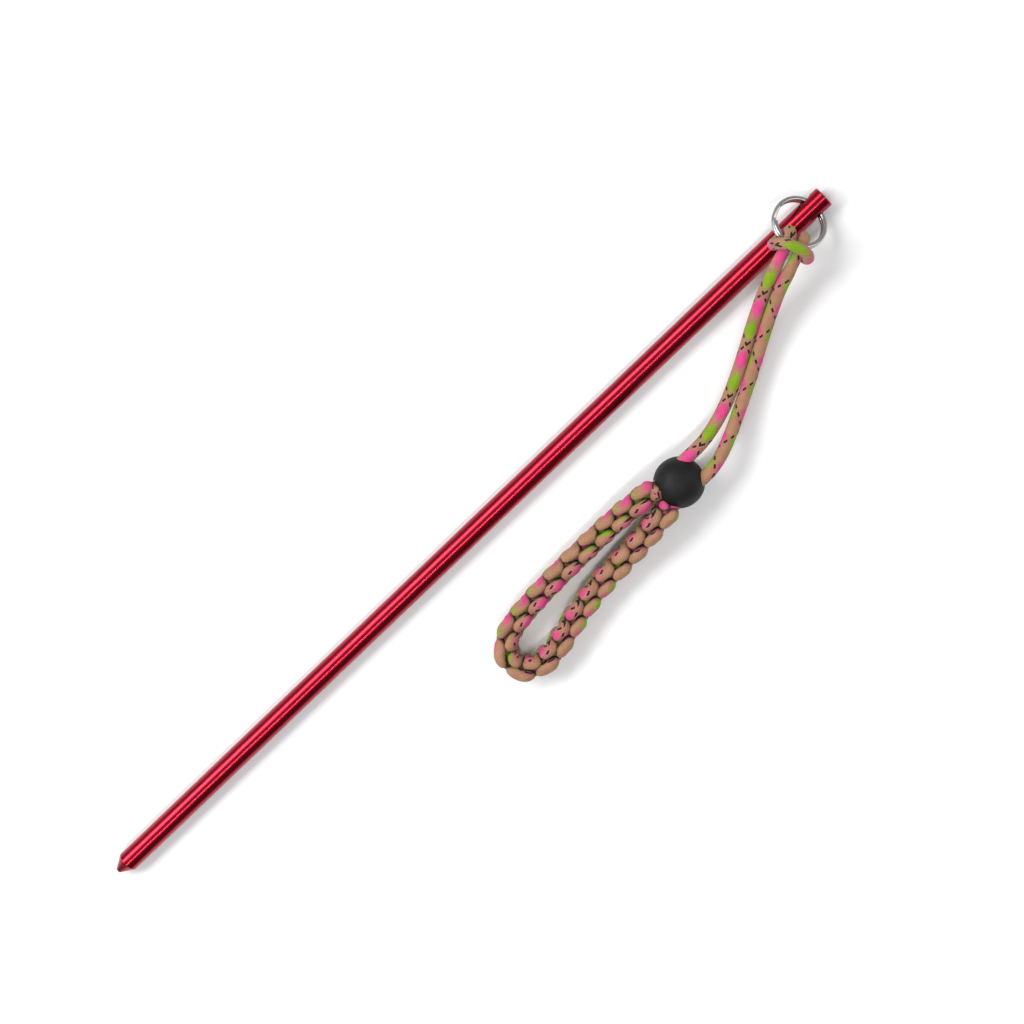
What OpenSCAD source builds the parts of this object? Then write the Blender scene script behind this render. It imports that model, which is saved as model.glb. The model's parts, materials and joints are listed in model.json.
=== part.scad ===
/* [Rod] */
// Whole length of the rod, point to butt
rod_l = 360; // [340:1:380]
// Diameter of the rod
rod_d = 8; // [7.5:0.1:9]
// Length of the blunt turned cone at the point
tip_l = 5.2; // [3:0.1:8]
// Diameter of the small flat left on the point
tip_flat_d = 2.2; // [1:0.1:3]
// Chamfer round the butt
butt_chamfer = 0.4; // [0.2:0.1:0.8]
// Distance from the butt to the cross hole's axis
hole_back = 5.5; // [5:0.1:7]
// Diameter of the cross hole for the split ring
hole_d = 4.4; // [4.3:0.1:4.8]

/* [Split ring] */
// Outer diameter of the split ring
ring_od = 20; // [19.5:0.1:21]
// Radial thickness of its flattened wire
wire_radial = 1.6; // [1.4:0.1:1.8]
// Height of one turn of wire, of which there are two
wire_axial = 1.35; // [1.2:0.05:1.5]
// How far the ring's plane is tipped up from the table
ring_tilt = 35.5; // [34:0.5:40]
// How far the ring is turned sideways in its oversize hole
ring_yaw = 6; // [0:1:6]

/* [Cord and hitch] */
// Diameter of the braided cord
cord_d = 4.5; // [4:0.1:4.6]
// Place of the hitch round the ring, from the side next to the hole
hitch_angle = 200; // [190:1:210]
// Thickness of the squeezed cord in the hitch
wrap_d = 3.6; // [3.4:0.1:3.7]

/* [Stopper] */
// Diameter of the ball
ball_d = 18.4; // [18:0.1:19]
// Distance between the two cord bores
bore_spacing = 9.1; // [9:0.1:9.6]
// Diameter of each cord bore
bore_d = 4.9; // [4.8:0.05:5]
// Height of the cord bores above the ball's middle
bore_rise = 1.9; // [1.8:0.1:2.2]
// Depth of the button's axis below the ball's middle
button_drop = 2.8; // [2.6:0.1:3]
// Diameter of the button
button_d = 5.2; // [5:0.1:5.3]
// Travel of the button
button_travel = 2.4; // [1.5:0.1:2.4]

/* [Wrist loop] */
// Thickness of the woven band, across the loop's plane
band_w = 9; // [8:0.1:9.2]
// Height of the woven band, which stands on its edge
band_h = 11; // [10:0.1:11]

/* [Hidden] */
$fn = 64;

rod_r = rod_d / 2;
rod_end = rod_l / 2;
hole_x = rod_end - hole_back;
countersink = 0.3;

// The wire's mean circle, and how far its centre stands off the hole's axis so that the
// curved wire is centred in the straight hole.
ring_r = (ring_od - wire_radial) / 2;
ring_offset = ring_r - (ring_r - sqrt(ring_r * ring_r - rod_r * rod_r)) / 2;
turn_gap = 0.04;
turn_level = (wire_axial + turn_gap) / 2;
wire_corner = 0.45;
jog_at = 110;
jog_half = 16;
end_gap = 5;

// Route of one half of the cow hitch, from the end of its tail over the wire, down through
// the ring and back up to the middle of the bar: angle round the ring from the hitch's
// middle, distance out from the wire's mean circle, height over the ring's plane.
half_hitch = [
    [ 7.2,  9.0, -4.3],
    [ 9.3,  6.2, -1.5],
    [11.2,  3.8,  1.1],
    [13.0,  1.6,  3.0],
    [16.5, -0.5,  3.5],
    [23.0, -2.3,  2.6],
    [28.0, -3.2,  0.8],
    [31.0, -3.2, -1.0],
    [32.0, -2.1, -2.9],
    [31.0,  0.1, -3.6],
    [30.0,  2.3, -2.8],
    [28.5,  4.1, -0.9],
    [26.0,  5.1,  1.8],
    [20.5,  5.2,  4.5],
    [12.0,  4.8,  6.1],
    [ 0.0,  4.5,  6.5]
];

// Middle of the ball, on the table. The cords pass through it along X.
ball_r = ball_d / 2;
ball_at = [75, -37.7, ball_r];

// The button's bore, measured along X from the ball's middle, outwards being -X.
button_r = button_d / 2;
well_clear = 0.25;
button_out = -12.2;
button_dome = 1;
wedge_start = -4.1;
wedge_full = -2.6;
wedge_end = 1.9;
wedge_r = 3.85;
chamber_r = 4.25;
chamber_start = -4.4;
chamber_end = wedge_end + button_travel + 0.3;
spring_seat = -8;
spring_bore_r = 2.05;
spring_r = 1.55;
spring_wire = 0.45;
spring_turns = 7;

// Route of the pair of strands from the hitch to the ball: x, y, z of the middle of the
// pair, then half the distance between the two cords.
strand_route = [
    [150.9,  -8.9, 15.0, 2.35],
    [147.2, -10.2, 13.6, 2.35],
    [141.5, -12.8, 11.2, 2.35],
    [133.0, -17.2,  8.2, 2.35],
    [124.0, -22.3,  6.4, 2.35],
    [115.0, -27.2,  6.0, 2.4],
    [107.0, -31.2,  6.8, 2.6],
    [ 99.0, -34.6,  8.4, 3.2],
    [ 92.0, -36.8, 10.1, 3.95],
    [ 86.0, -37.7, 11.1, 4.5],
    [ 84.0, -37.7, 11.1, 4.55],
    [ 75.3, -37.7, 11.1, 4.55]
];

// Route of the core cord from the ball, round the wrist loop and back to the ball.
loop_route = [
    [ 74.7, -33.15, 11.1], [ 69.0, -33.15, 11.1], [ 65.0, -33.1, 11.1], [ 61.5, -32.8, 10.9],
    [ 53.0, -32.2,  8.9], [ 46.0, -32.0,  7.2], [ 38.0, -32.0,  6.1], [ 29.0, -32.1,  5.6],
    [ 20.0, -32.3,  5.5], [ 10.0, -32.8,  5.5], [  1.0, -33.6,  5.5], [ -6.0, -34.8,  5.5],
    [-11.5, -37.8,  5.5], [-14.6, -42.6,  5.5], [-13.2, -48.0,  5.5], [ -8.4, -51.3,  5.5],
    [ -2.0, -51.9,  5.5], [  5.0, -50.5,  5.5], [ 13.0, -48.4,  5.5], [ 22.0, -46.6,  5.5],
    [ 30.0, -45.5,  5.6], [ 38.0, -44.9,  6.1], [ 46.0, -44.4,  7.2], [ 53.0, -43.8,  8.9],
    [ 61.5, -42.7, 10.9], [ 65.0, -42.35, 11.1], [ 69.0, -42.25, 11.1], [ 74.7, -42.25, 11.1]
];
band_first = 3;
tube_sides = 10;
hitch_sides = 12;
band_sides = 12;

function unit(v) = v / norm(v);
function place(p) = [p[0], p[1], p[2]];

// Direction of a route at point i, and the level direction square to it.
function heading(route, i) = unit(place(route[min(i + 1, len(route) - 1)]) - place(route[max(i - 1, 0)]));
function sideways(route, i) = let (h = heading(route, i)) unit([-h[1], h[0], 0]);

// Ellipse of half width a and half height b, square to a route at point i.
function section(route, i, a, b, sides) = [
    for (k = [0 : sides - 1])
        let (angle = 360 * (k + 0.5) / sides, side = sideways(route, i), up = cross(heading(route, i), side))
        place(route[i]) + a * cos(angle) * side + b * sin(angle) * up
];

// One cord of the pair: the route moved sideways by half the spacing.
function one_strand(hand) = [
    for (i = [0 : len(strand_route) - 1])
        place(strand_route[i]) - hand * strand_route[i][3] * sideways(strand_route, i)
];

// Part of v that is square to h, and a sideways direction carried along a route from its
// first point without twisting.
function square_to(v, h) = unit(v - (v * h) * h);
function carried(route, i) = i == 0
    ? square_to([0, 0, 1], heading(route, 0))
    : square_to(carried(route, i - 1), heading(route, i));

// Point of the hitch in the ring's frame.
function round_ring(angle, out, level) = [
    (ring_r + out) * cos(hitch_angle + angle), (ring_r + out) * sin(hitch_angle + angle), level];

// Closed solid through a list of rings of equal length.
module sweep(rings) {
    n = len(rings);
    m = len(rings[0]);
    polyhedron(
        points = [for (ring = rings) each ring],
        faces = concat(
            [[for (k = [0 : m - 1]) k]],
            [for (i = [0 : n - 2], k = [0 : m - 1])
                [i * m + k, (i + 1) * m + k, (i + 1) * m + (k + 1) % m, i * m + (k + 1) % m]],
            [[for (k = [m - 1 : -1 : 0]) (n - 1) * m + k]]),
        convexity = 8);
}

module cord_along(route, first, last) {
    sweep([for (i = [first : last]) section(route, i, cord_d / 2, cord_d / 2, tube_sides)]);
}

// Turned bar: blunt cone at -X, chamfered butt at +X, cross hole for the ring.
module rod() {
    color("crimson")
    difference() {
        translate([0, 0, rod_r]) rotate([0, 90, 0]) rotate_extrude()
            polygon([
                [0, -rod_end],
                [tip_flat_d / 2, -rod_end],
                [rod_r, -rod_end + tip_l],
                [rod_r, rod_end - butt_chamfer],
                [rod_r - butt_chamfer, rod_end],
                [0, rod_end]]);
        translate([hole_x, 0, rod_r]) rotate([90, 0, 0])
            cylinder(d = hole_d, h = rod_d + 2, center = true);
        for (side = [-1, 1])
            translate([hole_x, side * (rod_r - countersink), rod_r]) rotate([-90 * side, 0, 0])
                cylinder(r1 = hole_d / 2, r2 = hole_d / 2 + 2 * countersink, h = 2 * countersink);
    }
}

// Frame of the ring: its centre at the origin, its axis along Z, the hole on +X.
module in_ring_frame() {
    translate([hole_x, 0, rod_r]) rotate([0, ring_tilt, ring_yaw]) translate([-ring_offset, 0, 0]) children();
}

// Rounded rectangle of wire, radially out from the ring's axis, at one angle and level.
function wire_ring(angle, level) = [
    for (quarter = [0 : 3], step = [0 : 2])
        let (a = 90 * quarter + 45 * step,
             sx = (quarter == 0 || quarter == 3) ? 1 : -1,
             sz = quarter < 2 ? 1 : -1,
             r = ring_r + sx * (wire_radial / 2 - wire_corner) + wire_corner * cos(a),
             z = level - sz * (wire_axial / 2 - wire_corner) - wire_corner * sin(a))
        [r * cos(angle), r * sin(angle), z]
];
function smooth(t) = let (c = max(0, min(1, t))) c * c * (3 - 2 * c);

// Two turns of one wire, joined by a jog from the upper turn down to the lower one.
module split_ring() {
    turn = 360 - 2 * jog_half - end_gap;
    whole = 2 * turn + 2 * jog_half;
    steps = 112;
    color("silver")
    in_ring_frame() rotate([0, 0, jog_at + jog_half + end_gap])
        sweep([for (i = [0 : steps])
            let (a = whole * i / steps)
            wire_ring(a, turn_level * (1 - 2 * smooth((a - turn) / (2 * jog_half))))]);
}

// Cow hitch, one length of cord: in along one tail, round the wire, across the bar, round
// the wire again and out along the other tail.
module hitch() {
    last = len(half_hitch) - 1;
    route = concat(
        [for (p = half_hitch) round_ring(-p[0], p[1], p[2])],
        [for (i = [last - 1 : -1 : 0]) round_ring(half_hitch[i][0], half_hitch[i][1], half_hitch[i][2])]);
    color("darkseagreen")
    in_ring_frame()
        sweep([for (i = [0 : len(route) - 1])
            let (side = carried(route, i), up = cross(heading(route, i), side))
            [for (k = [0 : hitch_sides - 1])
                let (angle = 360 * (k + 0.5) / hitch_sides)
                route[i] + wrap_d / 2 * (cos(angle) * side + sin(angle) * up)]]);
}

module strand(hand) {
    route = one_strand(hand);
    cord_along(route, 0, len(route) - 1);
}

module strand_left() {
    color("hotpink") strand(1);
}

module strand_right() {
    color("tan") strand(-1);
}

module loop_core() {
    color("tan") cord_along(loop_route, 0, len(loop_route) - 1);
}

module loop_weave() {
    last = len(loop_route) - 1 - band_first;
    color("yellowgreen")
    sweep([for (i = [band_first : last]) section(loop_route, i, band_w / 2, band_h / 2, band_sides)]);
}

// Frame of the ball, with the button's axis along X when it is lowered by button_drop.
module in_ball_frame() {
    translate(ball_at) children();
}

module along_button() {
    translate([0, 0, -button_drop]) rotate([0, 90, 0]) children();
}

// Ball with two cord bores and the stepped bore of the button below them.
module stopper_ball() {
    color([0.12, 0.12, 0.12])
    in_ball_frame() difference() {
        sphere(r = ball_r, $fn = 96);
        for (side = [-1, 1])
            translate([0, side * bore_spacing / 2, bore_rise]) rotate([0, 90, 0])
                cylinder(d = bore_d, h = ball_d + 2, center = true);
        along_button() {
            translate([0, 0, -ball_r - 1]) cylinder(r = button_r + well_clear, h = ball_r + 1);
            translate([0, 0, chamber_start]) cylinder(r = chamber_r, h = chamber_end - chamber_start);
        }
    }
}

// Plunger: button outside, wedge that pinches the cords inside, blind bore for the spring.
module stopper_button() {
    color([0.18, 0.18, 0.18])
    in_ball_frame() along_button() rotate_extrude()
        polygon([
            [0, button_out],
            [button_r - button_dome, button_out],
            [button_r, button_out + button_dome],
            [button_r, wedge_start],
            [wedge_r, wedge_full],
            [wedge_r, wedge_end],
            [spring_bore_r, wedge_end],
            [spring_bore_r, spring_seat],
            [0, spring_seat]]);
}

// Compression spring: a round wire wound along the button's axis.
module stopper_spring() {
    per_turn = 10;
    steps = spring_turns * per_turn;
    low = spring_seat + spring_wire / 2 + 0.05;
    high = chamber_end - spring_wire / 2 - 0.05;
    color("silver")
    in_ball_frame() along_button()
        sweep([for (i = [0 : steps])
            let (turn_angle = 360 * i / per_turn, z = low + (high - low) * i / steps)
            [for (k = [0 : 5])
                let (a = 60 * k, r = spring_r + spring_wire / 2 * cos(a))
                [r * cos(turn_angle), -r * sin(turn_angle), z + spring_wire / 2 * sin(a)]]]);
}

rod();
split_ring();
hitch();
strand_left();
strand_right();
loop_core();
loop_weave();
stopper_ball();
stopper_button();
stopper_spring();
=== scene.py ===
"""Pointer stick with a wrist lanyard: anodised rod, split ring, hitched cord, stopper and woven loop."""
import json
import math

import bpy
import numpy as np
from mathutils import Matrix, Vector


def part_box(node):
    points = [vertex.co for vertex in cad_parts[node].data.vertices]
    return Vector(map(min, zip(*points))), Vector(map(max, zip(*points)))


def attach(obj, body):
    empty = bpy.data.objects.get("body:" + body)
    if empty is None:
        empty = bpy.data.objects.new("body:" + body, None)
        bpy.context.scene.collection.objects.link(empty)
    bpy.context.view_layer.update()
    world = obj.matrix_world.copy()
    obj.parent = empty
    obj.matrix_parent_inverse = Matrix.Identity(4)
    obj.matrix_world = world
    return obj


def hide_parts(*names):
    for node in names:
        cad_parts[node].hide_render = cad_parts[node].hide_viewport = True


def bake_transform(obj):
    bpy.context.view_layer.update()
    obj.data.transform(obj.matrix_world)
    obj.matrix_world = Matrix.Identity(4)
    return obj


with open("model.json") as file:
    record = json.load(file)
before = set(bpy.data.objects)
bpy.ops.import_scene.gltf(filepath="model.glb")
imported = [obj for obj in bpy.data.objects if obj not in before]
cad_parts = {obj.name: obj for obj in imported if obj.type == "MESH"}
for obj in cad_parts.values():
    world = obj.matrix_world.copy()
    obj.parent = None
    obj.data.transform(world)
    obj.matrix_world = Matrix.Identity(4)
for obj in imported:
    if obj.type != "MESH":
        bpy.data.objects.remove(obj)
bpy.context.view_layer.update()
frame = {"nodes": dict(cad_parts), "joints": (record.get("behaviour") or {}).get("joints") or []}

bl_info = {
    "name": "Pointer stick with wrist lanyard",
    "version": (1, 0, 0),
    "blender": (4, 5, 0),
    "location": "3D View > Sidebar > Pointer stick",
    "description": "Builds the visible surfaces of a pointer stick and its woven wrist lanyard",
    "category": "Add Mesh",
}

MM = 0.001

# The pair of strands from the hitch to the ball, in millimetres: x, y, z of the middle of the
# pair, then half the distance between the two cords.
STRAND_ROUTE = np.array([
    [150.9, -8.9, 15.0, 2.35],
    [147.2, -10.2, 13.6, 2.35],
    [141.5, -12.8, 11.2, 2.35],
    [133.0, -17.2, 8.2, 2.35],
    [124.0, -22.3, 6.4, 2.35],
    [115.0, -27.2, 6.0, 2.4],
    [107.0, -31.2, 6.8, 2.6],
    [99.0, -34.6, 8.4, 3.2],
    [92.0, -36.8, 10.1, 3.95],
    [86.0, -37.7, 11.1, 4.5],
    [84.0, -37.7, 11.1, 4.55],
    [75.3, -37.7, 11.1, 4.55],
])

# The core cord from the ball, round the wrist loop and back, in millimetres.
LOOP_ROUTE = np.array([
    [74.7, -33.15, 11.1], [69.0, -33.15, 11.1], [65.0, -33.1, 11.1], [61.5, -32.8, 10.9],
    [53.0, -32.2, 8.9], [46.0, -32.0, 7.2], [38.0, -32.0, 6.1], [29.0, -32.1, 5.6],
    [20.0, -32.3, 5.5], [10.0, -32.8, 5.5], [1.0, -33.6, 5.5], [-6.0, -34.8, 5.5],
    [-11.5, -37.8, 5.5], [-14.6, -42.6, 5.5], [-13.2, -48.0, 5.5], [-8.4, -51.3, 5.5],
    [-2.0, -51.9, 5.5], [5.0, -50.5, 5.5], [13.0, -48.4, 5.5], [22.0, -46.6, 5.5],
    [30.0, -45.5, 5.6], [38.0, -44.9, 6.1], [46.0, -44.4, 7.2], [53.0, -43.8, 8.9],
    [61.5, -42.7, 10.9], [65.0, -42.35, 11.1], [69.0, -42.25, 11.1], [74.7, -42.25, 11.1],
])

# One half of the cow hitch, from its tail over the wire, down through the ring and back up to
# the middle of the bar: degrees round the ring from the hitch's middle, millimetres out from
# the wire, millimetres over it.
HALF_HITCH = np.array([
    [7.2, 9.0, -4.3], [9.3, 6.2, -1.5], [11.2, 3.8, 1.1], [13.0, 1.6, 3.0],
    [16.5, -0.5, 3.5], [23.0, -2.3, 2.6], [28.0, -3.2, 0.8], [31.0, -3.2, -1.0],
    [32.0, -2.1, -2.9], [31.0, 0.1, -3.6], [30.0, 2.3, -2.8], [28.5, 4.1, -0.9],
    [26.0, 5.1, 1.8], [20.5, 5.2, 4.5], [12.0, 4.8, 6.1], [0.0, 4.5, 6.5],
])


def linear(hex_colour):
    """sRGB hex to linear RGBA: the sRGB curve's two branches, taken channel by channel."""
    srgb = np.array([int(hex_colour[i:i + 2], 16) for i in (1, 3, 5)]) / 255
    rgb = np.where(srgb <= 0.04045, srgb / 12.92, ((srgb + 0.055) / 1.055) ** 2.4)
    return (*rgb.tolist(), 1.0)


def length_setting(name, description, millimetres):
    """A length that the user may change, shown in the scene's own units."""
    return bpy.props.FloatProperty(
        name=name, description=description, default=millimetres * MM, min=0.0,
        unit="LENGTH", subtype="DISTANCE", precision=5)


def angle_setting(name, description, degrees):
    """An angle that the user may change."""
    return bpy.props.FloatProperty(
        name=name, description=description, default=math.radians(degrees), unit="ROTATION", subtype="ANGLE")


def colour_setting(name, description, hex_colour):
    """A colour that the user may change."""
    return bpy.props.FloatVectorProperty(
        name=name, description=description, default=linear(hex_colour), size=4,
        min=0.0, max=1.0, subtype="COLOR")


class STICK_PG_metal(bpy.types.PropertyGroup):
    rod_colour: colour_setting("Rod colour", "Dye in the rod's anodised skin", "#9E1027")
    ring_colour: colour_setting("Ring colour", "Bare steel of the split ring and the spring", "#B9B8B4")
    ring_od: length_setting("Ring diameter", "Outer diameter of the split ring", 20)
    wire_radial: length_setting("Wire, radial", "Thickness of the ring's wire in the ring's plane", 1.6)
    wire_axial: length_setting("Wire, axial", "Height of one turn of the ring's wire", 1.35)
    wire_corner: length_setting("Wire corner", "Radius of the wire's rounded corners", 0.45)
    turn_gap: length_setting("Turn gap", "Gap between the ring's two turns", 0.04)
    ring_tilt: angle_setting("Ring tilt", "How far the ring's plane is tipped up", 35.5)
    ring_yaw: angle_setting("Ring yaw", "How far the ring is turned in its hole", 6)


class STICK_PG_cord(bpy.types.PropertyGroup):
    diameter: length_setting("Cord diameter", "Diameter of the free cord", 4.5)
    hitched: length_setting("Hitched diameter", "Thickness of the cord where the hitch squeezes it", 3.9)
    lay: length_setting("Lay", "Length in which a yarn goes once round the cord", 20)
    carriers: bpy.props.IntProperty(
        name="Carriers", description="Bundles of yarn that wind each way", default=16, min=8, max=24)
    relief: length_setting("Yarn relief", "How far each float of yarn stands out", 0.11)
    flat: length_setting("Flatness", "How much wider than thick the laid cord is", 0.2)
    hitch_angle: angle_setting("Hitch angle", "Place of the hitch round the ring", 200)
    base: colour_setting("Base yarn", "Most of the sheath's yarn", "#A87760")
    bright: colour_setting("Bright yarn", "The pink bundles", "#D84684")
    second: colour_setting("Second yarn", "The lime bundles", "#7FA312")
    tracer: colour_setting("Tracer yarn", "The single dark bundles", "#170D11")


class STICK_PG_weave(bpy.types.PropertyGroup):
    knot_pitch: length_setting("Knot pitch", "Length of band that one half knot takes", 4.4)
    face_out: length_setting("Face offset", "From the core's middle to the cord on the band's face", 2.15)
    edge_up: length_setting("Edge offset", "From the core's middle to a pad on the band's edge", 3.4)
    thick: length_setting("Pressed cord", "Thickness of the working cord, pressed on the core", 4.1)
    wide: length_setting("Cord width", "Width of the working cord where it crosses a face", 4.4)
    pad_wide: length_setting("Pad width", "Width of the working cord on the band's edge", 4.9)
    lean: angle_setting("Lean", "Roll of the band in the outer leg", 9)


class STICK_PG_stage(bpy.types.PropertyGroup):
    lens: bpy.props.FloatProperty(
        name="Lens", description="Focal length", default=80, min=20, max=200, unit="CAMERA")
    distance: length_setting("Camera distance", "From the aim point to the camera", 822.3)
    tilt: angle_setting("Camera tilt", "From straight above, towards the butt", 10.5)
    roll: angle_setting("Camera roll", "Turn of the picture", -43.64)
    floor_colour: colour_setting("Floor", "Pale matt floor", "#F4F4F4")


def unit(v):
    """v at length 1, along its last axis."""
    return v / np.linalg.norm(v, axis=-1, keepdims=True)


def squared(v, along):
    """The part of v that is square to the unit vector along, at length 1."""
    return unit(v - np.sum(v * along, axis=-1, keepdims=True) * along)


def eased(t):
    """0 below 0, 1 above 1, and the cubic 3t^2 - 2t^3 between."""
    t = np.clip(t, 0, 1)
    return t * t * (3 - 2 * t)


def run(path):
    """Length along a path at each of its points: the running sum of its steps."""
    return np.concatenate([[0.0], np.cumsum(np.linalg.norm(np.diff(path, axis=0), axis=1))])


def headings(path):
    """Unit tangent at each point: the difference of the points on both sides of it."""
    return unit(np.gradient(path, axis=0))


def curved(points, per_span=24):
    """Catmull-Rom curve: on each span the cubic that its two ends and their neighbours give."""
    p = np.vstack([2 * points[:1] - points[1:2], points, 2 * points[-1:] - points[-2:-1]])
    a, b, c, d = (p[i:len(p) - 3 + i, None, :] for i in range(4))
    t = np.linspace(0, 1, per_span, endpoint=False)[None, :, None]
    spans = 0.5 * (2 * b + (c - a) * t + (2 * a - 5 * b + 4 * c - d) * t ** 2
                   + (3 * b - a - 3 * c + d) * t ** 3)
    return np.vstack([spans.reshape(-1, points.shape[1]), points[-1:]])


def sampled(stations, along, values):
    """Each column of values read off at the stations, linearly between its own places along."""
    return np.stack([np.interp(stations, along, column) for column in values.T], axis=-1)


def evened(path, step):
    """The path at points a step apart, measured along it."""
    along = run(path)
    count = int(round(along[-1] / step)) + 1
    return sampled(np.linspace(0, along[-1], count), along, path)


def new_piece(name, points, quads, triangles=(), uv=None):
    """An object at the origin with these points and faces: its quads smooth, its end triangles flat."""
    mesh = bpy.data.meshes.new(name)
    faces = np.asarray(quads, int).tolist() + [list(t) for t in np.asarray(triangles, int).tolist()]
    mesh.from_pydata(points.reshape(-1, 3).tolist(), [], faces)
    mesh.polygons.foreach_set("use_smooth", np.arange(len(mesh.polygons)) < len(quads))
    if uv is not None:
        layer = mesh.uv_layers.new(name="braid")
        layer.data.foreach_set("uv", uv.astype(np.float32).ravel())
    mesh.update()
    piece = bpy.data.objects.new(name, mesh)
    bpy.context.scene.collection.objects.link(piece)
    return piece


def grid_faces(rows, columns):
    """Quads of a grid that closes on itself across: point (i, k) to (i, k+1), (i+1, k+1), (i+1, k)."""
    i, k = np.meshgrid(np.arange(rows - 1), np.arange(columns), indexing="ij")
    following = (k + 1) % columns
    corners = [i * columns + k, i * columns + following,
               (i + 1) * columns + following, (i + 1) * columns + k]
    return np.stack(corners, axis=-1).reshape(-1, 4)


def cap_faces(rows, columns):
    """Triangles from a middle point to the first row, and from another to the last row."""
    k = np.arange(columns)
    following = (k + 1) % columns
    first = np.stack([np.full(columns, rows * columns), following, k], axis=-1)
    last = np.stack([np.full(columns, rows * columns + 1), (rows - 1) * columns + k,
                     (rows - 1) * columns + following], axis=-1)
    return np.vstack([first, last])


def braid_relief(u, v, carriers):
    """Height of the sheath from 0 to 1. Yarns wind both ways, at v - u and v + u turns, two over
    and two under: with the whole parts of the two counts added, each four make two floats of the
    first yarns and two of the others. A float is a half-ellipse across and a parabola along."""
    one, other = carriers * (v - u), carriers * (v + u)
    crossing = (np.floor(one) + np.floor(other)) % 4
    first_on_top = crossing < 2
    across = np.where(first_on_top, one, other) % 1.0
    along = (crossing % 2 + np.where(first_on_top, other, one) % 1.0) / 2
    return np.sqrt(np.clip(4 * across * (1 - across), 0, 1)) * (0.55 + 0.45 * 4 * along * (1 - along))


def tube_points(path, side, thick, wide, braid, turn, lays):
    """Points and braid coordinates of a cord: round each point of the path an ellipse with
    half axes thick/2 along side and wide/2 square to it, raised by the sheath's relief. The
    coordinates are lays along the cord and turns round it."""
    columns = 4 * braid.carriers
    tangent = headings(path)
    side = squared(side, tangent)
    other = np.cross(tangent, side)
    k = np.arange(columns + 1) / columns
    u = lays[:, None] + 0 * k
    v = k + turn[:, None]
    lift = braid.relief * (braid_relief(u, v, braid.carriers) - 0.7)
    cosine, sine = np.cos(2 * np.pi * k), np.sin(2 * np.pi * k)
    spoke = (((thick[:, None] / 2 + lift) * cosine)[..., None] * side[:, None, :]
             + ((wide[:, None] / 2 + lift) * sine)[..., None] * other[:, None, :])
    return (path[:, None, :] + spoke)[:, :-1], np.stack([u, v], axis=-1)


def cord_piece(name, rings, coordinates, ends):
    """A closed tube through rings of points, with a middle point at each end."""
    rows, columns = rings.shape[:2]
    points = np.vstack([rings.reshape(-1, 3), ends])
    uv = np.stack([coordinates[:-1, :-1], coordinates[:-1, 1:],
                   coordinates[1:, 1:], coordinates[1:, :-1]], axis=2).reshape(-1, 2)
    first = np.stack([coordinates[0, :-1], coordinates[0, 1:], coordinates[0, :-1]], axis=1)
    last = np.stack([coordinates[-1, :-1], coordinates[-1, :-1], coordinates[-1, 1:]], axis=1)
    uv = np.vstack([uv, first.reshape(-1, 2), last.reshape(-1, 2)])
    return new_piece(name, points, grid_faces(rows, columns), cap_faces(rows, columns), uv)


def add(tree, kind, inputs=None, **settings):
    """Adds a node, gives it its settings, and sets or links its inputs."""
    node = tree.nodes.new(kind)
    for key, value in settings.items():
        setattr(node, key, value)
    for socket, value in (inputs or {}).items():
        if isinstance(value, bpy.types.NodeSocket):
            tree.links.new(value, node.inputs[socket])
        else:
            node.inputs[socket].default_value = value
    return node


def new_material(name):
    """An empty node material with its output node."""
    material = bpy.data.materials.new(name)
    material.use_nodes = True
    tree = material.node_tree
    tree.nodes.clear()
    return material, tree, add(tree, "ShaderNodeOutputMaterial")


def ramp(tree, factor, stops, interpolation="LINEAR"):
    """A colour ramp is set through its elements, so its stops are filled in here."""
    node = add(tree, "ShaderNodeValToRGB", {0: factor})
    node.color_ramp.interpolation = interpolation
    elements = node.color_ramp.elements
    while len(elements) < len(stops):
        elements.new(1.0)
    for element, (place, colour) in zip(elements, stops):
        element.position = place
        element.color = colour
    return node


def anodised_aluminium(settings):
    """Drawn aluminium bar with a dyed anodic skin: a coloured metal gloss under a thin clear
    layer, with fine lines along the bar and a slightly uneven satin."""
    material, tree, output = new_material("red_anodised_aluminium")
    place = add(tree, "ShaderNodeTexCoord").outputs["Object"]
    # Draw lines run along X. Real ones are 0.05 mm apart; these are 0.25 mm, to show.
    lines = add(tree, "ShaderNodeMapping", {"Vector": place, "Scale": (30, 4000, 4000)})
    drawn = add(tree, "ShaderNodeTexNoise", {"Vector": lines.outputs[0], "Scale": 1.0, "Detail": 3.0})
    # The satin of the etch before dyeing varies over a few centimetres.
    cloud = add(tree, "ShaderNodeTexNoise", {"Vector": place, "Scale": 60.0, "Detail": 2.0})
    rough = add(tree, "ShaderNodeMapRange", {
        "Value": drawn.outputs["Fac"], "From Min": 0.3, "From Max": 0.7, "To Min": 0.24, "To Max": 0.265})
    colour = add(tree, "ShaderNodeHueSaturation", {
        "Color": settings.rod_colour,
        "Value": add(tree, "ShaderNodeMapRange", {
            "Value": cloud.outputs["Fac"], "From Min": 0.3, "From Max": 0.7,
            "To Min": 0.93, "To Max": 1.05}).outputs[0]})
    bump = add(tree, "ShaderNodeBump", {
        "Height": drawn.outputs["Fac"], "Strength": 0.02, "Distance": 0.02 * MM})
    shader = add(tree, "ShaderNodeBsdfPrincipled", {
        "Base Color": colour.outputs[0], "Metallic": 1.0, "Roughness": rough.outputs[0],
        "Normal": bump.outputs[0], "Coat Weight": 0.25, "Coat Roughness": 0.12})
    tree.links.new(shader.outputs[0], output.inputs["Surface"])
    return material


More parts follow.
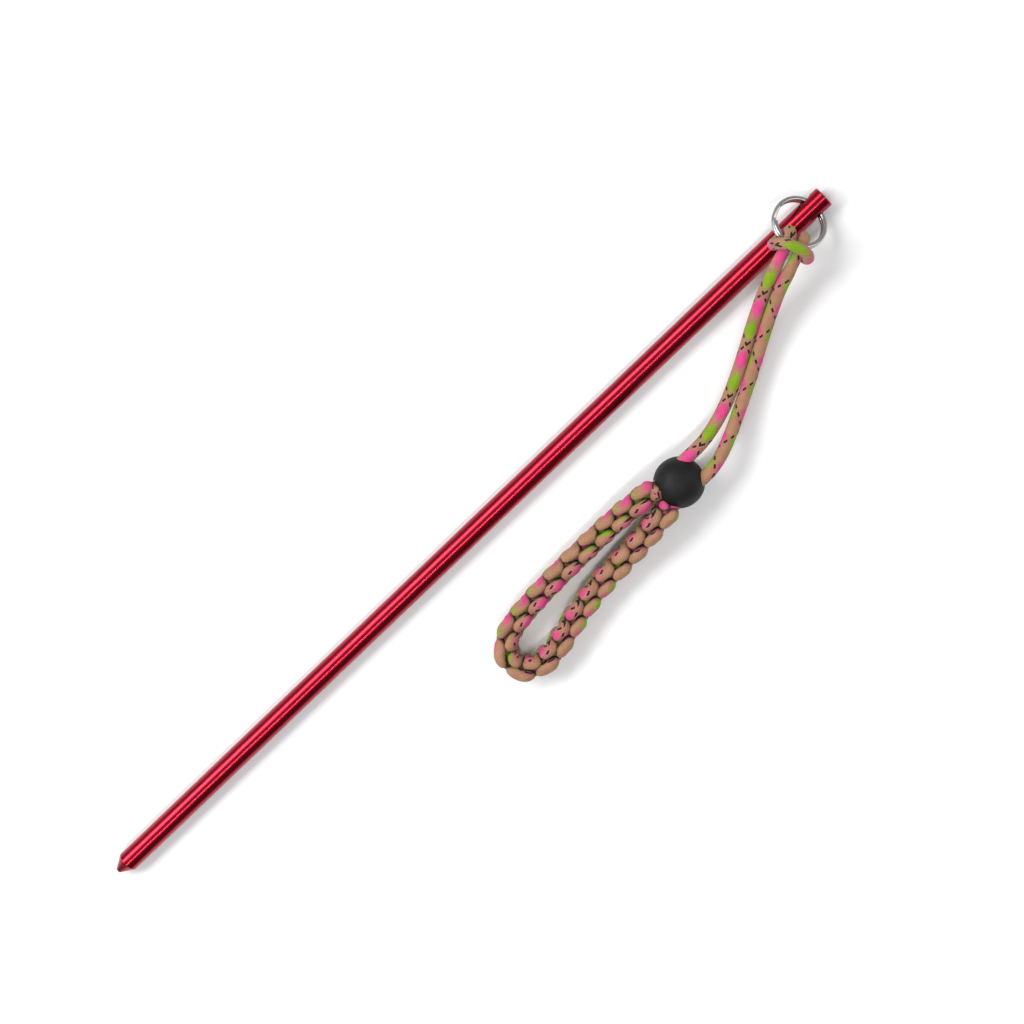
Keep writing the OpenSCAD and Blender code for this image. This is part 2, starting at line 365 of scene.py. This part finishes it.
def bright_steel(settings):
    """Plated spring-steel wire: a smooth grey metal with faint rolling marks."""
    material, tree, output = new_material("bright_steel_wire")
    place = add(tree, "ShaderNodeTexCoord").outputs["Object"]
    # Rolling marks are about 0.3 mm apart.
    marks = add(tree, "ShaderNodeTexNoise", {"Vector": place, "Scale": 3000.0, "Detail": 3.0})
    rough = add(tree, "ShaderNodeMapRange", {
        "Value": marks.outputs["Fac"], "From Min": 0.3, "From Max": 0.7, "To Min": 0.16, "To Max": 0.3})
    bump = add(tree, "ShaderNodeBump", {
        "Height": marks.outputs["Fac"], "Strength": 0.15, "Distance": 0.02 * MM})
    shader = add(tree, "ShaderNodeBsdfPrincipled", {
        "Base Color": settings.ring_colour, "Metallic": 1.0, "Roughness": rough.outputs[0],
        "Normal": bump.outputs[0]})
    tree.links.new(shader.outputs[0], output.inputs["Surface"])
    return material


def braided_nylon(settings):
    """Nylon sheath braided from bundles of pink, lime, tan and black yarn. A bundle winding
    one way and one winding the other show a solid colour only where both have it, so the
    colours make diamonds, and the single black bundles make dashed lines that cross."""
    material, tree, output = new_material("braided_nylon_cord")
    carriers = float(settings.carriers)
    braid_map = add(tree, "ShaderNodeUVMap", uv_map="braid").outputs[0]
    coordinates = add(tree, "ShaderNodeSeparateXYZ", {0: braid_map})
    lays, turns = coordinates.outputs["X"], coordinates.outputs["Y"]
    families = []
    for operation in ("SUBTRACT", "ADD"):
        position = add(tree, "ShaderNodeMath", {0: turns, 1: lays}, operation=operation).outputs[0]
        count = add(tree, "ShaderNodeMath", {0: position, 1: carriers}, operation="MULTIPLY").outputs[0]
        whole = add(tree, "ShaderNodeMath", {0: count}, operation="FLOOR").outputs[0]
        part = add(tree, "ShaderNodeMath", {0: count}, operation="FRACT").outputs[0]
        shifted = add(tree, "ShaderNodeMath", {0: whole, 1: 0.5}, operation="ADD").outputs[0]
        turned = add(tree, "ShaderNodeMath", {0: shifted, 1: carriers}, operation="DIVIDE").outputs[0]
        share = add(tree, "ShaderNodeMath", {0: turned}, operation="FRACT").outputs[0]
        families.append((whole, part, share))
    (whole_1, part_1, share_1), (whole_2, part_2, share_2) = families
    # Flags of the yarn colours: red for pink, green for lime, blue for black.
    none, pink, lime, black = (0, 0, 0, 1), (1, 0, 0, 1), (0, 1, 0, 1), (0, 0, 1, 1)
    sixteenth = 1 / 16
    flags_1 = ramp(tree, share_1, [
        (0, lime), (3 * sixteenth, none), (4 * sixteenth, black), (5 * sixteenth, none),
        (6 * sixteenth, pink), (12 * sixteenth, none), (13 * sixteenth, lime)], "CONSTANT").outputs[0]
    flags_2 = ramp(tree, share_2, [
        (0, lime), (3 * sixteenth, none), (4 * sixteenth, pink), (10 * sixteenth, none),
        (11 * sixteenth, black), (12 * sixteenth, none), (13 * sixteenth, lime)], "CONSTANT").outputs[0]
    both_whole = add(tree, "ShaderNodeMath", {0: whole_1, 1: whole_2}, operation="ADD").outputs[0]
    quarters = add(tree, "ShaderNodeMath", {0: both_whole, 1: 0.25}, operation="MULTIPLY").outputs[0]
    crossing = add(tree, "ShaderNodeMath", {0: quarters}, operation="FRACT").outputs[0]
    second_on_top = add(tree, "ShaderNodeMath", {0: crossing, 1: 0.4}, operation="GREATER_THAN").outputs[0]
    top = add(tree, "ShaderNodeMix", {"Factor": second_on_top, 6: flags_1, 7: flags_2},
              data_type="RGBA").outputs[2]
    both = add(tree, "ShaderNodeMix", {"Factor": 1.0, 6: flags_1, 7: flags_2},
               data_type="RGBA", blend_type="MULTIPLY").outputs[2]
    either = add(tree, "ShaderNodeMix", {"Factor": 0.5, 6: flags_1, 7: flags_2},
                 data_type="RGBA").outputs[2]
    shown = add(tree, "ShaderNodeMix", {"Factor": 0.42, 6: both, 7: either}, data_type="RGBA").outputs[2]
    colours = add(tree, "ShaderNodeSeparateColor", {0: shown})
    top_colours = add(tree, "ShaderNodeSeparateColor", {0: top})
    tint = settings.base
    for channel, other in ((0, settings.bright), (1, settings.second)):
        tint = add(tree, "ShaderNodeMix", {"Factor": colours.outputs[channel], 6: tint, 7: other},
                   data_type="RGBA").outputs[2]
    tint = add(tree, "ShaderNodeMix", {"Factor": top_colours.outputs[2], 6: tint, 7: settings.tracer},
               data_type="RGBA").outputs[2]
    # Each float is lit on its crown and dark in the seams between the yarns.
    across = add(tree, "ShaderNodeMix", {0: second_on_top, 2: part_1, 3: part_2},
                 data_type="FLOAT").outputs[0]
    rest = add(tree, "ShaderNodeMath", {0: 1.0, 1: across}, operation="SUBTRACT").outputs[0]
    product = add(tree, "ShaderNodeMath", {0: across, 1: rest}, operation="MULTIPLY").outputs[0]
    crown = add(tree, "ShaderNodeMath", {0: product, 1: 4.0}, operation="MULTIPLY").outputs[0]
    rounded = add(tree, "ShaderNodeMath", {0: crown, 1: 0.5}, operation="POWER").outputs[0]
    # Filaments run along each yarn, 8 to a yarn.
    filament = add(tree, "ShaderNodeMath", {0: across, 1: 8 * 2 * math.pi}, operation="MULTIPLY").outputs[0]
    ridges = add(tree, "ShaderNodeMath", {0: filament}, operation="SINE").outputs[0]
    height = add(tree, "ShaderNodeMath", {0: ridges, 1: 0.06, 2: rounded},
                 operation="MULTIPLY_ADD").outputs[0]
    # Soiling and uneven dye, over some millimetres of the cord.
    cloud = add(tree, "ShaderNodeTexNoise", {
        "Vector": add(tree, "ShaderNodeTexCoord").outputs["Object"], "Scale": 350.0, "Detail": 3.0})
    seam = add(tree, "ShaderNodeMapRange", {"Value": rounded, "To Min": 0.62, "To Max": 1.03}).outputs[0]
    # Painted shade: the cord is darkened, down to 0.14 of its colour, where it lies deep between the knots,
    # which the attribute marks.
    recess_shade = add(tree, "ShaderNodeAttribute", attribute_name="recess_shade").outputs["Fac"]
    painted_recess_shade = add(tree, "ShaderNodeMapRange", {"Value": recess_shade, "To Min": 1.0, "To Max": 0.14}).outputs[0]
    shade = add(tree, "ShaderNodeMath", {0: seam, 1: painted_recess_shade}, operation="MULTIPLY").outputs[0]
    uneven = add(tree, "ShaderNodeMapRange", {
        "Value": cloud.outputs["Fac"], "From Min": 0.3, "From Max": 0.7,
        "To Min": 0.88, "To Max": 1.08}).outputs[0]
    value = add(tree, "ShaderNodeMath", {0: shade, 1: uneven}, operation="MULTIPLY").outputs[0]
    colour = add(tree, "ShaderNodeHueSaturation", {"Color": tint, "Value": value}).outputs[0]
    bump = add(tree, "ShaderNodeBump", {
        "Height": height, "Strength": 0.5, "Distance": 0.12 * MM}).outputs[0]
    shader = add(tree, "ShaderNodeBsdfPrincipled", {
        "Base Color": colour, "Roughness": 0.72, "Normal": bump,
        "Sheen Weight": 0.08, "Sheen Roughness": 0.5, "Specular IOR Level": 0.3})
    tree.links.new(shader.outputs[0], output.inputs["Surface"])
    return material


def moulded_plastic(name, hex_colour, roughness):
    """Injection-moulded ABS with a spark-eroded mould's fine even grain: dull black, with a soft
    wide highlight."""
    material, tree, output = new_material(name)
    place = add(tree, "ShaderNodeTexCoord").outputs["Object"]
    # The grain is about 0.25 mm.
    grain = add(tree, "ShaderNodeTexNoise", {"Vector": place, "Scale": 4000.0, "Detail": 2.0})
    scuffs = add(tree, "ShaderNodeTexNoise", {
        "Vector": place, "Scale": 260.0, "Detail": 4.0, "Roughness": 0.7})
    rough = add(tree, "ShaderNodeMapRange", {
        "Value": scuffs.outputs["Fac"], "From Min": 0.35, "From Max": 0.7,
        "To Min": roughness + 0.06, "To Max": roughness - 0.08})
    colour = add(tree, "ShaderNodeHueSaturation", {
        "Color": linear(hex_colour),
        "Value": add(tree, "ShaderNodeMapRange", {
            "Value": scuffs.outputs["Fac"], "From Min": 0.3, "From Max": 0.75,
            "To Min": 0.85, "To Max": 1.3}).outputs[0]})
    bump = add(tree, "ShaderNodeBump", {
        "Height": grain.outputs["Fac"], "Strength": 0.35, "Distance": 0.04 * MM})
    shader = add(tree, "ShaderNodeBsdfPrincipled", {
        "Base Color": colour.outputs[0], "Roughness": rough.outputs[0], "Normal": bump.outputs[0],
        "Specular IOR Level": 0.3})
    tree.links.new(shader.outputs[0], output.inputs["Surface"])
    return material


def finish_with(piece, material):
    """Gives the whole piece one material."""
    piece.data.materials.clear()
    piece.data.materials.append(material)


def joint(name):
    """The named joint of the frame."""
    return next(j for j in frame["joints"] if j["name"] == name)


def ring_place(points, metal):
    """Points of the ring's own frame, in millimetres, put in the stick's frame in metres:
    moved so that the wire is centred in the hole, turned by the tilt and then by the yaw."""
    rod_r = (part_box("rod")[1][2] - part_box("rod")[0][2]) / 2 / MM
    ring_r = (metal.ring_od - metal.wire_radial) / 2 / MM
    offset = ring_r - (ring_r - math.sqrt(ring_r ** 2 - rod_r ** 2)) / 2
    cy, sy = math.cos(metal.ring_yaw), math.sin(metal.ring_yaw)
    ct, st = math.cos(metal.ring_tilt), math.sin(metal.ring_tilt)
    yawed = np.array([[cy, -sy, 0], [sy, cy, 0], [0, 0, 1]])
    tilted = np.array([[ct, 0, st], [0, 1, 0], [-st, 0, ct]])
    hole = np.array(joint("ring_swing")["pos_m"])
    return hole + ((points - [offset, 0, 0]) @ (yawed @ tilted).T) * MM


def middle(node):
    """Middle of a node's box."""
    return np.mean(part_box(node), axis=0)


def core_cord_path(metal, cord):
    """The cord from the ball up one strand, through the cow hitch and down the other strand, in
    metres; the directions that face away from the wire in the hitch and up elsewhere; and the
    two points of the path where the hitch begins and ends."""
    heading = unit(np.gradient(STRAND_ROUTE[:, :3], axis=0))
    level = unit(np.stack([-heading[:, 1], heading[:, 0], 0 * heading[:, 0]], axis=-1))
    left, right = (STRAND_ROUTE[:, :3] - hand * STRAND_ROUTE[:, 3:] * level for hand in (1, -1))
    ring_r = (metal.ring_od - metal.wire_radial) / 2 / MM
    half = HALF_HITCH[1:]
    hitch = np.vstack([half * [-1, 1, 1], half[-2::-1]])
    angle = cord.hitch_angle + np.radians(hitch[:, 0])
    radial = np.stack([np.cos(angle), np.sin(angle), 0 * angle], axis=-1)
    knot = ring_place((ring_r + hitch[:, 1:2]) * radial + hitch[:, 2:] * [0, 0, 1], metal)
    wire = ring_place(ring_r * radial, metal)
    points = np.vstack([left[::-1] * MM, knot, right * MM])
    up = np.tile([0.0, 0.0, 1.0], (len(left), 1))
    facing = np.vstack([up, unit(knot - wire), up])
    per_span = 24
    path = curved(points, per_span)
    side = curved(facing, per_span)
    seams = np.array([len(left) - 1, len(points) - len(right)]) * per_span
    return path, side, seams


class STICK_OT_stage(bpy.types.Operator):
    """Makes the camera, the floor and the lights"""
    bl_idname = "stick.stage"
    bl_label = "Stage"

    def execute(self, context):
        stage = context.scene.stick_stage
        aim = np.array([22.5 * MM, -4.54 * MM, 0.0])
        back = np.array([math.sin(stage.tilt), 0.0, math.cos(stage.tilt)])
        level = unit(np.cross(-back, [0.0, 1.0, 0.0]))
        rise = np.cross(level, -back)
        right = math.cos(stage.roll) * level + math.sin(stage.roll) * rise
        top = -math.sin(stage.roll) * level + math.cos(stage.roll) * rise
        data = bpy.data.cameras.new("camera")
        data.lens = stage.lens
        data.sensor_width = 36
        data.clip_start = 0.01
        camera = bpy.data.objects.new("camera", data)
        context.scene.collection.objects.link(camera)
        matrix = np.eye(4)
        matrix[:3, 0], matrix[:3, 1], matrix[:3, 2] = right, top, back
        matrix[:3, 3] = aim + stage.distance * back
        camera.matrix_world = Matrix(matrix.tolist())
        context.scene.camera = camera

        size = 3.0
        corners = np.array([[-size, -size, 0], [size, -size, 0], [size, size, 0], [-size, size, 0]])
        floor = new_piece("floor", corners - [0, 0, 0.2 * MM], [[0, 1, 2, 3]])
        material, tree, output = new_material("matt_paper")
        shader = add(tree, "ShaderNodeBsdfPrincipled", {"Base Color": stage.floor_colour, "Roughness": 0.9})
        tree.links.new(shader.outputs[0], output.inputs["Surface"])
        finish_with(floor, material)

        target = middle("rod")
        # A broad soft key, a narrow strip nearly overhead along the rod, a weak fill: place,
        # power, size.
        for name, place, power, width, height in (
                ("key", (-0.25, 0.55, 0.75), 8.0, 0.9, 0.35),
                ("strip", (-0.15, -0.22, 0.80), 3.2, 1.2, 0.05),
                ("fill", (0.70, -0.30, 0.45), 1.5, 0.5, 0.5)):
            light = bpy.data.lights.new(name, "AREA")
            light.shape = "RECTANGLE"
            light.size, light.size_y = width, height
            light.energy = power
            lamp = bpy.data.objects.new(name, light)
            context.scene.collection.objects.link(lamp)
            beam = unit(np.array(place) - target)
            across = squared(np.array([1.0, 0.0, 0.0]), beam)
            matrix = np.eye(4)
            matrix[:3, 0], matrix[:3, 1], matrix[:3, 2] = across, np.cross(beam, across), beam
            matrix[:3, 3] = place
            lamp.matrix_world = Matrix(matrix.tolist())

        world = bpy.data.worlds.new("studio")
        world.use_nodes = True
        background = world.node_tree.nodes["Background"]
        background.inputs["Color"].default_value = linear("#F2F4F8")
        # The room is darker on the lanyard's side, so one side of the rod turns deep red.
        direction = add(world.node_tree, "ShaderNodeTexCoord").outputs["Generated"]
        sideways = add(world.node_tree, "ShaderNodeSeparateXYZ", {0: direction}).outputs["Y"]
        strength = add(world.node_tree, "ShaderNodeMapRange", {
            "Value": sideways, "From Min": -0.7, "From Max": 0.4, "To Min": 0.18, "To Max": 0.5}).outputs[0]
        world.node_tree.links.new(strength, background.inputs["Strength"])
        context.scene.world = world
        context.scene.view_settings.view_transform = "Standard"
        return {"FINISHED"}


class STICK_OT_strands(bpy.types.Operator):
    """Makes the two strands and the cow hitch between them, one length of cord"""
    bl_idname = "stick.strands"
    bl_label = "Strands and hitch"

    def execute(self, context):
        metal, cord = context.scene.stick_metal, context.scene.stick_cord
        path, side, seams = core_cord_path(metal, cord)
        corners = run(path)
        begins, ends = corners[seams]
        whole = evened(path, cord.lay / (4 * cord.carriers))
        at = np.linspace(0, corners[-1], len(whole))
        squeeze = eased(np.minimum(at - begins, ends - at) / (6 * MM))
        thick = cord.diameter - (cord.diameter - cord.hitched) * squeeze
        # The second strand lies a quarter turn round from the first.
        turn = 0.25 * eased((2 * at - begins - ends) / (ends - begins))
        # A pink patch lies where the first strand leaves the ball, and a lime one on the middle
        # of the bar, at a whole number of lays, so the lay is a little different in the hitch.
        first = 0.0175
        tied = 2 * (round(first + (begins + ends) / 2 / cord.lay) - first - begins / cord.lay)
        counts = np.cumsum([first, begins / cord.lay, tied, (corners[-1] - ends) / cord.lay])
        lays = np.interp(at, [0, begins, ends, corners[-1]], counts)
        rings, coordinates = tube_points(
            whole, sampled(at, corners, side), thick, thick + cord.flat, cord, turn, lays)
        cuts = [0, *np.searchsorted(at, [begins, ends]), len(whole) - 1]
        for node, low, high in zip(("strand_left", "hitch", "strand_right"), cuts, cuts[1:]):
            part = slice(low, high + 1)
            piece = cord_piece(node + "_cord", rings[part], coordinates[part], whole[[low, high]])
            finish_with(piece, bpy.data.materials["braided_nylon_cord"])
            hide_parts(node)
            if node == "hitch":
                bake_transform(piece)
            else:
                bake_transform(piece)
        return {"FINISHED"}


class STICK_OT_core(bpy.types.Operator):
    """Makes the core cord of the wrist loop, from the ball round and back to it"""
    bl_idname = "stick.core"
    bl_label = "Loop core"

    def execute(self, context):
        cord = context.scene.stick_cord
        path = evened(curved(LOOP_ROUTE * MM), cord.lay / (4 * cord.carriers))
        along = run(path)
        inward = np.minimum(along, along[-1] - along)
        # The weave squeezes the core to 3.6 mm.
        girth = cord.diameter - (cord.diameter - 3.6 * MM) * eased((inward - 9 * MM) / (6 * MM))
        up = np.tile([0.0, 0.0, 1.0], (len(path), 1))
        rings, coordinates = tube_points(
            path, up, girth, girth, cord, 0 * along, 0.3 + along / cord.lay)
        piece = cord_piece("loop_core_cord", rings, coordinates, path[[0, -1]])
        finish_with(piece, bpy.data.materials["braided_nylon_cord"])
        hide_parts("loop_core")
        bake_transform(piece)
        return {"FINISHED"}


def band_frame(weave):
    """The band's middle line and its directions along, up and out of the loop, in metres.
    Up and out are rolled about the pads on the upper edge by the lean, which grows from the
    bend to the middle of the outer leg and dies out at the ball."""
    line = evened(curved(LOOP_ROUTE * MM), 0.5 * MM)
    tangent = headings(line)
    out = unit(np.stack([tangent[:, 1], -tangent[:, 0], 0 * tangent[:, 0]], axis=-1))
    up = np.cross(out, tangent)
    share = run(line) / run(line)[-1]
    lean = (weave.lean * eased((share - 0.48) / 0.12) * eased((1 - share) / 0.08))[:, None]
    rolled_up = np.cos(lean) * up + np.sin(lean) * out
    rolled_out = np.cos(lean) * out - np.sin(lean) * up
    return line + weave.edge_up * (up - rolled_up), rolled_up, rolled_out


def half_knots(weave, knots, hand, pitch):
    """Middle line of a working cord in the band's own space (along, up, out). With t in half
    knots, its height is the edge offset times a sine of pi t, squared off by a hyperbolic
    tangent, and it stands off the core by the face offset, a little less where a pad begins
    and more where it ends. It moves along by t less a sine of 2 pi t, so it crosses each face
    almost square and runs along each edge. hand is 1 on the outer face and -1 on the inner."""
    squareness, lagging, slant = 2.1, 0.8, 0.45 * MM
    wave = np.tanh(squareness * np.sin(np.pi * knots)) / math.tanh(squareness)
    height = hand * weave.edge_up * wave
    out = hand * (weave.face_out - slant * np.cos(np.pi * knots) * wave ** 4)
    along = pitch * (knots - lagging * np.sin(2 * np.pi * knots) / (2 * np.pi))
    return np.stack([along, height, out], axis=-1)


def pushed_off(points, centre, radius, axis=None):
    """Points nearer than radius to the centre, or to the line through it along the axis, moved
    straight out until they are that far off."""
    offset = points - centre
    if axis is not None:
        offset = offset * (1 - axis)
    distance = np.linalg.norm(offset, axis=-1, keepdims=True)
    push = np.clip(radius - distance, 0, None)
    return points + offset / np.maximum(distance, 1e-6) * push


class STICK_OT_weave(bpy.types.Operator):
    """Weaves the working cord round the core: crossed half knots, one cord on each face"""
    bl_idname = "stick.weave"
    bl_label = "Woven band"

    def execute(self, context):
        cord, weave = context.scene.stick_cord, context.scene.stick_weave
        line, up, out = band_frame(weave)
        stations = run(line)
        ball, button = middle("stopper_ball"), middle("stopper_button")
        ball_r = np.ptp(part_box("stopper_ball"), axis=0)[2] / 2
        button_end, button_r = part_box("stopper_button")[0][0], 2.6 * MM
        # The band stays this far from both ends of the core, which lie inside the ball.
        first = 8.3 * MM
        count = 2 * int((stations[-1] - 2 * first) / weave.knot_pitch / 2) + 1
        pitch = (stations[-1] - 2 * first) / count
        # The outer cord begins on its face and the inner one on the band's upper edge. They are
        # halves of one cord, joined by its middle behind the core.
        outer = half_knots(weave, np.linspace(0.1, count - 0.05, 10 * count), 1, pitch)
        inner = half_knots(weave, np.linspace(-0.35, count + 0.38, 10 * count), -1, pitch)
        joined = evened(curved(np.vstack([outer[::-1], inner]), 4), cord.lay / (4 * cord.carriers))
        away = unit(joined * [0, 1 / weave.edge_up ** 2, 1 / weave.face_out ** 2])
        along = run(joined)
        ends = np.minimum(along, along[-1] - along)
        # Both ends are rounded like a ball, and tucked in towards the core.
        girth = np.sqrt(1 - (1 - np.clip(ends / (1.9 * MM), 0.05, 1)) ** 2)
        tuck = 1 - 0.3 * (1 - eased(ends / (3 * MM)))
        joined = joined * np.stack([1 + 0 * tuck, tuck, tuck], axis=-1)
        on_edge = np.clip(np.abs(joined[:, 1]) / weave.edge_up, 0, 1) ** 2
        wide = weave.wide + (weave.pad_wide - weave.wide) * on_edge
        # The cord rolls a little to and fro as it is tied.
        turn = 0.12 * np.sin(0.9 * along / cord.lay)
        rings, coordinates = tube_points(
            joined, away, weave.thick * girth, wide * girth, cord, turn, along / cord.lay)
        # The painted shade in the recesses is full where the surface lies deep in the band's oval section.
        depth = np.hypot(rings[..., 1] / (5.4 * MM), rings[..., 2] / (4.5 * MM))
        recess_shade = 1 - eased((depth - 0.6) / 0.34)

        def placed(points):
            """Band space bent along the loop: middle line plus up and out, then clear of the
            ball, the button and the table."""
            at = first + points[..., 0]
            bent = (sampled(at, stations, line) + points[..., 1:2] * sampled(at, stations, up)
                    + points[..., 2:3] * sampled(at, stations, out))
            bent = pushed_off(bent, ball, ball_r + 0.15 * MM)
            near = bent[..., :1] > button_end - 0.3 * MM
            beside = pushed_off(bent, button, button_r + 0.2 * MM, np.array([1, 0, 0]))
            bent = np.where(near, beside, bent)
            bent[..., 2] = np.maximum(bent[..., 2], 0.02 * MM)
            return bent

        rings, centres = placed(rings), placed(joined)
        half = len(joined) // 2
        for name, part in (("weave_outer", slice(0, half + 1)), ("weave_inner", slice(half, len(joined)))):
            piece = cord_piece(name, rings[part], coordinates[part], centres[part][[0, -1]])
            # Painted shade in the recesses, one value for each point, full at the two end points.
            mark = piece.data.attributes.new("recess_shade", "FLOAT", "POINT")
            mark.data.foreach_set("value", np.append(recess_shade[part].ravel(), [1, 1]).astype(np.float32))
            finish_with(piece, bpy.data.materials["braided_nylon_cord"])
            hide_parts("loop_weave")
            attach(piece, "lanyard")
        return {"FINISHED"}


class STICK_OT_ring(bpy.types.Operator):
    """Makes the split ring: one wire in two turns, joined by a jog"""
    bl_idname = "stick.ring"
    bl_label = "Split ring"

    def execute(self, context):
        metal = context.scene.stick_metal
        ring_r = (metal.ring_od - metal.wire_radial) / 2 / MM
        half_r, half_z = metal.wire_radial / 2 / MM, metal.wire_axial / 2 / MM
        corner = metal.wire_corner / MM
        level = (metal.wire_axial + metal.turn_gap) / 2 / MM
        jog_at, jog_half, end_gap = 110, 16, 5
        turn = 360 - 2 * jog_half - end_gap
        degrees = np.linspace(0, 2 * turn + 2 * jog_half, 720)
        drop = level * (1 - 2 * eased((degrees - turn) / (2 * jog_half)))
        # Section: a rectangle with round corners, walked once round clockwise.
        a = np.radians(np.linspace(0, 90, 7))[None, :] + np.pi / 2 * np.arange(4)[:, None]
        corners = np.array([[1, 1], [-1, 1], [-1, -1], [1, -1]])
        r = corners[:, :1] * (half_r - corner) + corner * np.cos(a)
        z = -corners[:, 1:] * (half_z - corner) - corner * np.sin(a)
        r, z = r.ravel(), z.ravel()
        theta = np.radians(degrees + jog_at + jog_half + end_gap)[:, None]
        ends = np.minimum(degrees, degrees[-1] - degrees)
        # The sheared ends are rounded over their last two degrees.
        shrink = (0.75 + 0.25 * eased(ends / 2.0))[:, None]
        rings = np.stack([(ring_r + r * shrink) * np.cos(theta), (ring_r + r * shrink) * np.sin(theta),
                          drop[:, None] + z * shrink], axis=-1)
        points = np.vstack([rings.reshape(-1, 3), rings[[0, -1]].mean(axis=1)])
        rows, columns = rings.shape[:2]
        piece = new_piece("split_ring_wire", ring_place(points, metal), grid_faces(rows, columns),
                          cap_faces(rows, columns))
        finish_with(piece, bpy.data.materials["bright_steel_wire"])
        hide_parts("split_ring")
        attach(piece, "ring")
        return {"FINISHED"}


class STICK_OT_finishes(bpy.types.Operator):
    """Makes the materials and gives the rod, the stopper and the spring theirs"""
    bl_idname = "stick.finishes"
    bl_label = "Finishes"

    def execute(self, context):
        metal, cord = context.scene.stick_metal, context.scene.stick_cord
        steel = bright_steel(metal)
        braided_nylon(cord)
        finish_with(frame["nodes"]["rod"], anodised_aluminium(metal))
        ball_plastic = moulded_plastic("black_moulded_plastic", "#0F0F0F", 0.6)
        button_plastic = moulded_plastic("black_button_plastic", "#121212", 0.55)
        finish_with(frame["nodes"]["stopper_ball"], ball_plastic)
        finish_with(frame["nodes"]["stopper_button"], button_plastic)
        finish_with(frame["nodes"]["stopper_spring"], steel)
        return {"FINISHED"}


class STICK_PT_panel(bpy.types.Panel):
    """Lists the steps in the order in which they run"""
    bl_idname = "STICK_PT_panel"
    bl_label = "Pointer stick"
    bl_space_type = "VIEW_3D"
    bl_region_type = "UI"
    bl_category = "Pointer stick"

    def draw(self, context):
        for operator in OPERATORS:
            self.layout.operator(operator.bl_idname)


OPERATORS = (STICK_OT_stage, STICK_OT_finishes, STICK_OT_strands, STICK_OT_core, STICK_OT_weave,
             STICK_OT_ring)
GROUPS = {"stick_metal": STICK_PG_metal, "stick_cord": STICK_PG_cord,
          "stick_weave": STICK_PG_weave, "stick_stage": STICK_PG_stage}


def register():
    for each in (*GROUPS.values(), *OPERATORS, STICK_PT_panel):
        bpy.utils.register_class(each)
    for name, group in GROUPS.items():
        setattr(bpy.types.Scene, name, bpy.props.PointerProperty(type=group))


def unregister():
    for name in GROUPS:
        delattr(bpy.types.Scene, name)
    for each in reversed((*GROUPS.values(), *OPERATORS, STICK_PT_panel)):
        bpy.utils.unregister_class(each)


def main():
    """Registers the classes and runs each operator in turn."""
    register()
    for operator in OPERATORS:
        group, action = operator.bl_idname.split(".")
        getattr(getattr(bpy.ops, group), action)()


if __name__ == "__main__":
    main()
